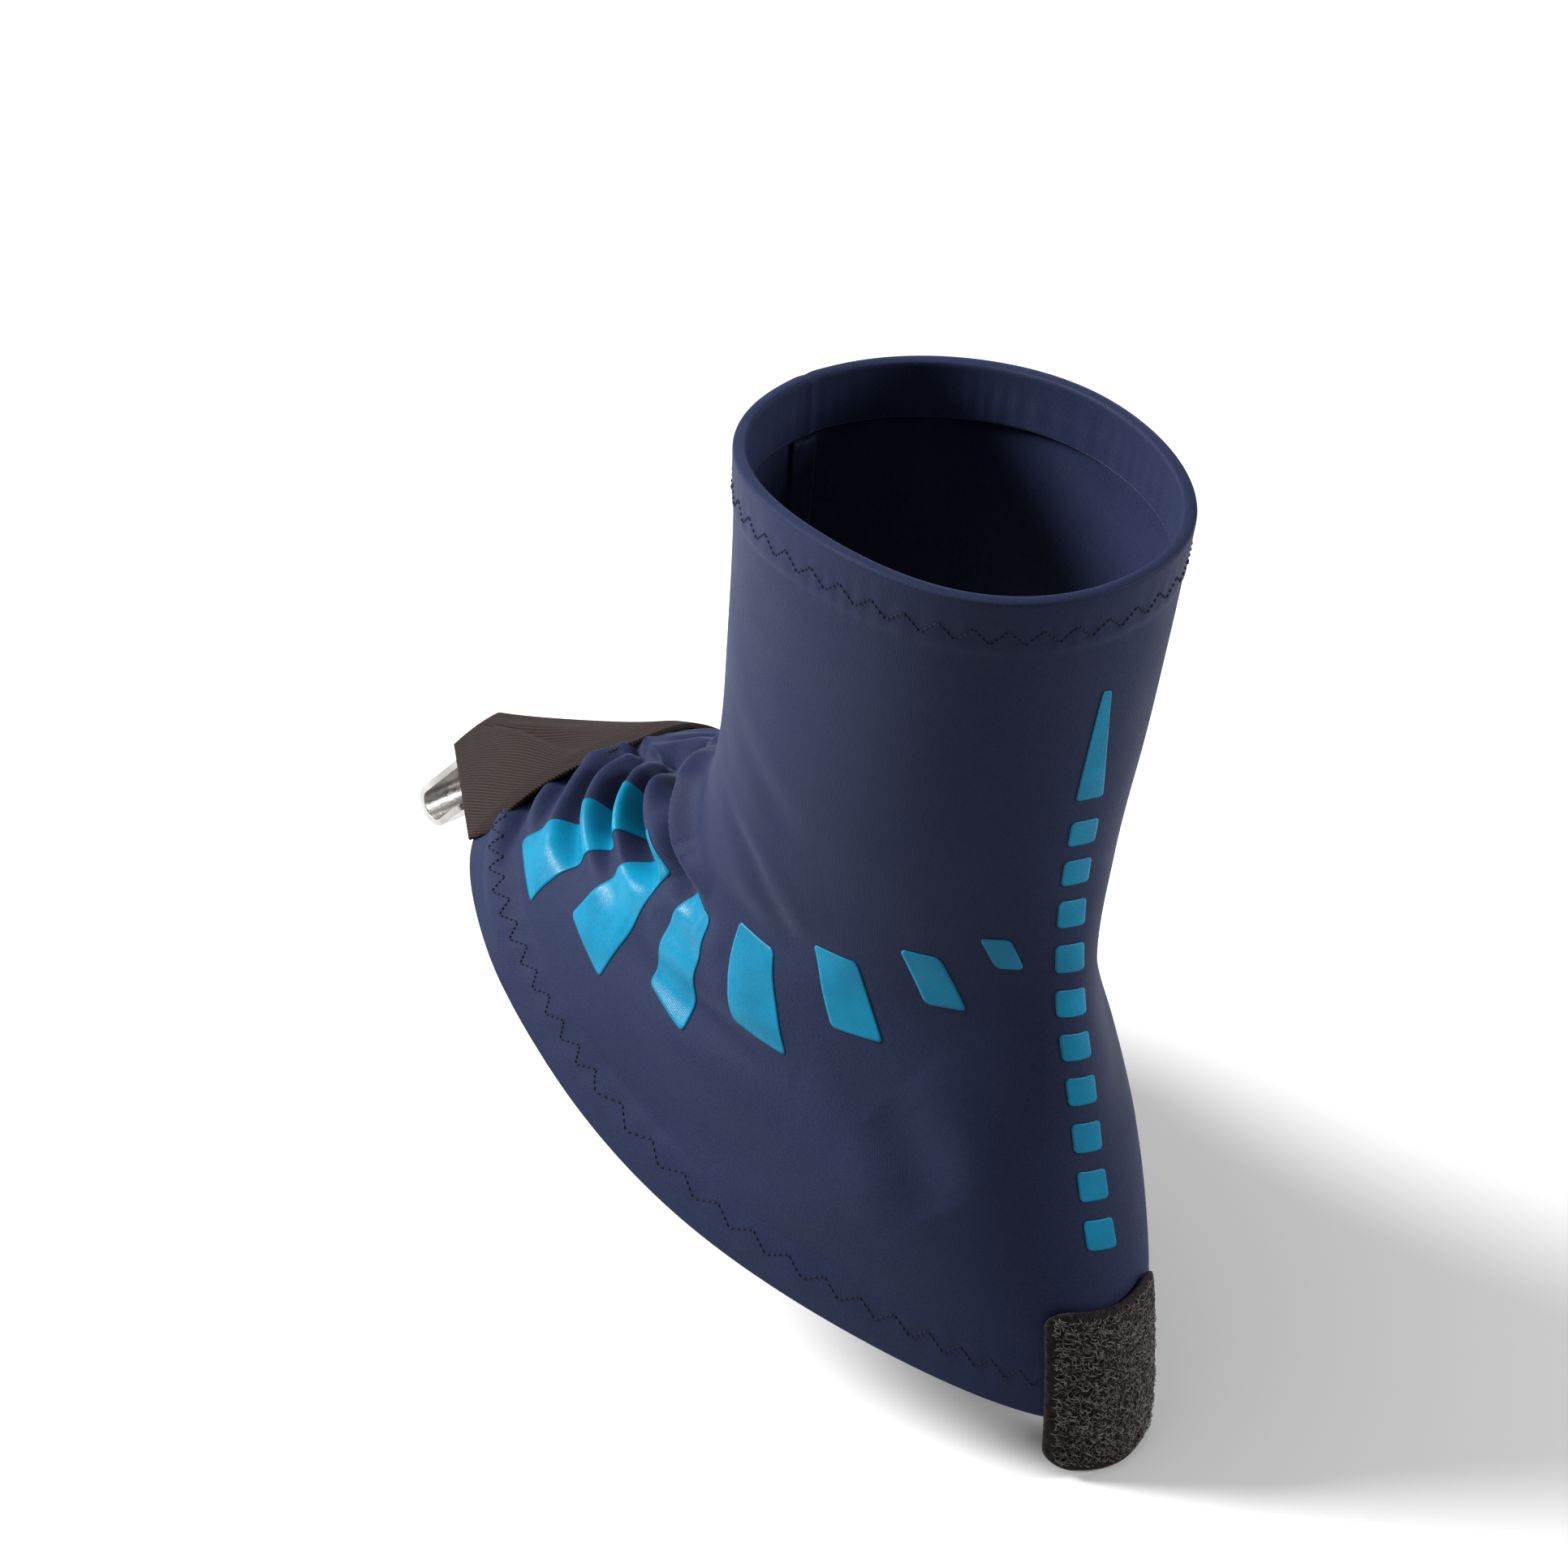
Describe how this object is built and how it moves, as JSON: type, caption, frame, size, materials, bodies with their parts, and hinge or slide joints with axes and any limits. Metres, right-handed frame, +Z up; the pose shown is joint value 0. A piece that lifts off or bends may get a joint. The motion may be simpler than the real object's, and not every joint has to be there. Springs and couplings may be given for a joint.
{
  "type": "ankle gaiter",
  "caption": "Stretch ankle gaiter for a low trail shoe, with a swinging steel lace hook on a tapered toe tab, a hook-and-loop heel tape and bonded film trim.",
  "frame": {"origin": "centre of the leg opening, at the top edge of the cuff", "axes": "+Z up the leg, -Y towards the toes, +X towards the outer side of a left foot"},
  "size_m": [0.09, 0.2226, 0.1935],
  "materials": {
    "stretch_cloth": "fine four-way stretch knit, soft sheen",
    "elastic": "woven elastic",
    "sewing_thread": "textured polyester thread",
    "film": "heat-bonded urethane film, glossy",
    "tab_twill": "ribbed matt twill",
    "webbing": "woven ribbon",
    "grip_tape": "hook-and-loop tape",
    "label": "printed satin",
    "steel": "bead-blasted and polished on the edges"
  },
  "bodies": {
    "sleeve": {"body_panel": "stretch_cloth", "front_seam": "sewing_thread", "cuff_elastic": "elastic", "lower_elastic": "elastic", "cuff_hem_thread": "sewing_thread", "lower_hem_thread": "sewing_thread", "outer_grip_patch": "grip_tape", "inner_grip_patch": "grip_tape", "care_label": "label", "side_film_1": "film", "side_film_2": "film", "side_film_3": "film", "side_film_4": "film", "side_film_5": "film", "side_film_6": "film", "side_film_7": "film", "back_film_blade": "film", "back_film_1": "film", "back_film_2": "film", "back_film_3": "film", "back_film_4": "film", "back_film_5": "film", "back_film_6": "film", "back_film_7": "film", "back_film_8": "film", "back_film_9": "film", "back_film_10": "film", "toe_tab_base": "tab_twill", "heel_tape_upper": "grip_tape"},
    "toe_tab": {"toe_tab_outer": "tab_twill", "toe_tab_lining": "webbing", "hook_webbing": "webbing"},
    "lace_hook": {"lace_hook": "steel"},
    "heel_tab": {"heel_tape_lower": "grip_tape"}
  },
  "joints": [
    {"name": "toe_tab_lift", "type": "hinge", "parent": "sleeve", "child": "toe_tab", "pos_m": [0, -0.1083, -0.1074], "axis": [-1, 0, 0], "range_deg": [0, 75]},
    {"name": "lace_hook_swing", "type": "hinge", "parent": "toe_tab", "child": "lace_hook", "pos_m": [-0.0026, -0.15838, -0.13813], "axis": [-1, 0, 0], "range_deg": [-45, 45]},
    {"name": "heel_tab_lift", "type": "hinge", "parent": "sleeve", "child": "heel_tab", "pos_m": [0, 0.0503, -0.1803], "axis": [1, 0, 0], "range_deg": [0, 80]}
  ]
}
